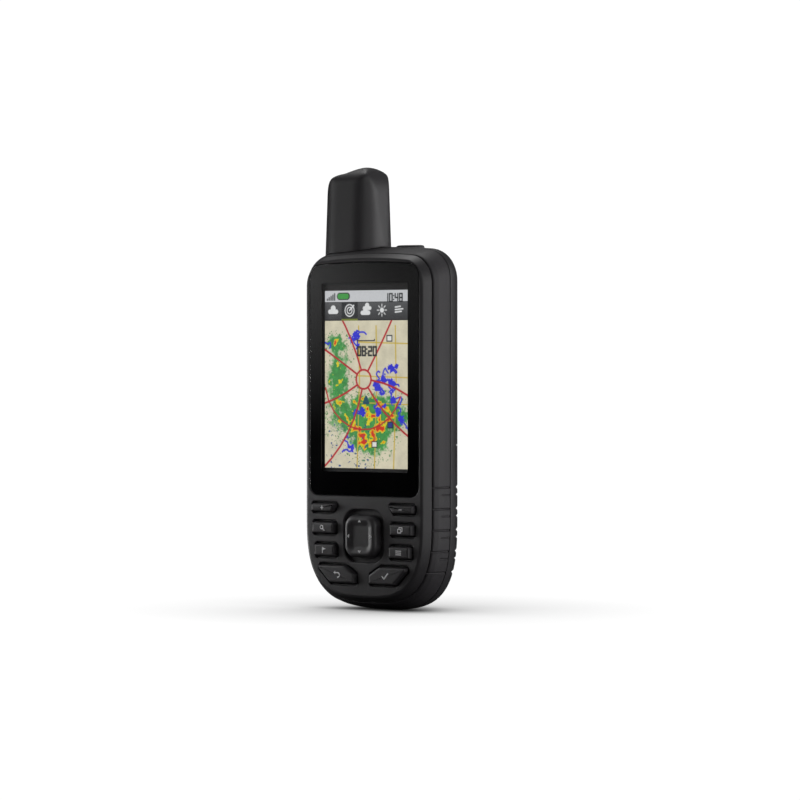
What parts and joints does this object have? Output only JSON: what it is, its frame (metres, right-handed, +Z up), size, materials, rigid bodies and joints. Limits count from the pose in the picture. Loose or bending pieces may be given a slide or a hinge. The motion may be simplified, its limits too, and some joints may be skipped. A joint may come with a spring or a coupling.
{
  "type": "handheld gps unit",
  "caption": "Rugged handheld satellite navigator: upright case with colour display, keypad, rocker, stub antenna, battery door with folding ring latch and a weather cap.",
  "frame": {"origin": "under the middle of the case, at the height of its lowest point", "axes": "+Z up along the case to the antenna, +Y out of the back, -Y out of the display, +X to the side away from the antenna"},
  "size_m": [0.0622, 0.0362, 0.1626],
  "materials": {
    "shell": "fine moulded texture",
    "rubber": "matte",
    "key": "soft satin",
    "glass": "polished, black behind the border",
    "screen": "backlit map",
    "foam": "foam",
    "silicone": "matte",
    "circuit": "solder mask",
    "tin": "plated",
    "brass": "plated",
    "steel": "satin",
    "ceramic": "bare",
    "cell": "plain wrap",
    "clear": "polished",
    "flex": "film",
    "card": "smooth"
  },
  "bodies": {
    "root": {"display_lens": "glass", "front_housing": "shell", "grip_overmold": "rubber", "rear_housing": "shell", "antenna_cover": "shell", "torch_lens": "clear", "display_gasket": "foam", "display_module": "screen", "keypad_mat": "silicone", "keypad_board": "circuit", "main_board": "circuit", "shield_can": "tin", "helix_antenna": "ceramic", "antenna_cable": "card", "case_gasket": "silicone", "battery_left": "cell", "battery_right": "cell", "contact_spring_left": "steel", "contact_spring_right": "steel", "contact_plate_left": "brass", "contact_plate_right": "brass", "card_holder": "tin", "memory_card": "card", "usb_port": "tin", "beeper": "card", "torch_led": "tin", "power_switch": "tin", "display_flex": "flex", "case_screw_1": "steel", "case_screw_2": "steel", "case_screw_3": "steel", "case_screw_4": "steel"},
    "key_zoom_in": {"key_zoom_in": "key"},
    "key_zoom_out": {"key_zoom_out": "key"},
    "key_find": {"key_find": "key"},
    "key_page": {"key_page": "key"},
    "key_mark": {"key_mark": "key"},
    "key_menu": {"key_menu": "key"},
    "key_quit": {"key_quit": "key"},
    "key_enter": {"key_enter": "key"},
    "rocker_pivot": {"rocker_pivot": "key"},
    "rocker_cap": {"rocker_cap": "key"},
    "power_button": {"power_button": "rubber"},
    "weather_cap": {"weather_cap": "rubber"},
    "battery_door": {"battery_door": "shell"},
    "door_latch": {"door_latch": "steel"},
    "d_ring": {"d_ring": "steel"}
  },
  "joints": [
    {"name": "key_zoom_in_press", "type": "slide", "parent": "root", "child": "key_zoom_in", "axis": [0, 1, 0], "range_m": [0, 0.0007]},
    {"name": "key_zoom_out_press", "type": "slide", "parent": "root", "child": "key_zoom_out", "axis": [0, 1, 0], "range_m": [0, 0.0007]},
    {"name": "key_find_press", "type": "slide", "parent": "root", "child": "key_find", "axis": [0, 1, 0], "range_m": [0, 0.0007]},
    {"name": "key_page_press", "type": "slide", "parent": "root", "child": "key_page", "axis": [0, 1, 0], "range_m": [0, 0.0007]},
    {"name": "key_mark_press", "type": "slide", "parent": "root", "child": "key_mark", "axis": [0, 1, 0], "range_m": [0, 0.0007]},
    {"name": "key_menu_press", "type": "slide", "parent": "root", "child": "key_menu", "axis": [0, 1, 0], "range_m": [0, 0.0007]},
    {"name": "key_quit_press", "type": "slide", "parent": "root", "child": "key_quit", "axis": [0, 1, 0], "range_m": [0, 0.0007]},
    {"name": "key_enter_press", "type": "slide", "parent": "root", "child": "key_enter", "axis": [0, 1, 0], "range_m": [0, 0.0007]},
    {"name": "rocker_up_down", "type": "hinge", "parent": "root", "child": "rocker_pivot", "pos_m": [0, -0.01375, 0.0272], "axis": [1, 0, 0], "range_deg": [-2.5, 2.5]},
    {"name": "rocker_left_right", "type": "hinge", "parent": "rocker_pivot", "child": "rocker_cap", "pos_m": [0, -0.01375, 0.0272], "axis": [0, 0, 1], "range_deg": [-2.5, 2.5]},
    {"name": "power_press", "type": "slide", "parent": "root", "child": "power_button", "axis": [0, 0, -1], "range_m": [0, 0.0007]},
    {"name": "weather_cap_hinge", "type": "hinge", "parent": "root", "child": "weather_cap", "pos_m": [0.0217, 0.01155, 0.1053], "axis": [-1, 0, 0], "range_deg": [0, 110]},
    {"name": "battery_door_lift", "type": "slide", "parent": "root", "child": "battery_door", "axis": [0, 1, 0], "range_m": [0, 0.04]},
    {"name": "door_latch_turn", "type": "hinge", "parent": "battery_door", "child": "door_latch", "pos_m": [0, 0.01395, 0.03], "axis": [0, 1, 0], "range_deg": [0, 90]},
    {"name": "d_ring_flip", "type": "hinge", "parent": "door_latch", "child": "d_ring", "pos_m": [0, 0.01655, 0.0318], "axis": [1, 0, 0], "range_deg": [0, 160]}
  ]
}
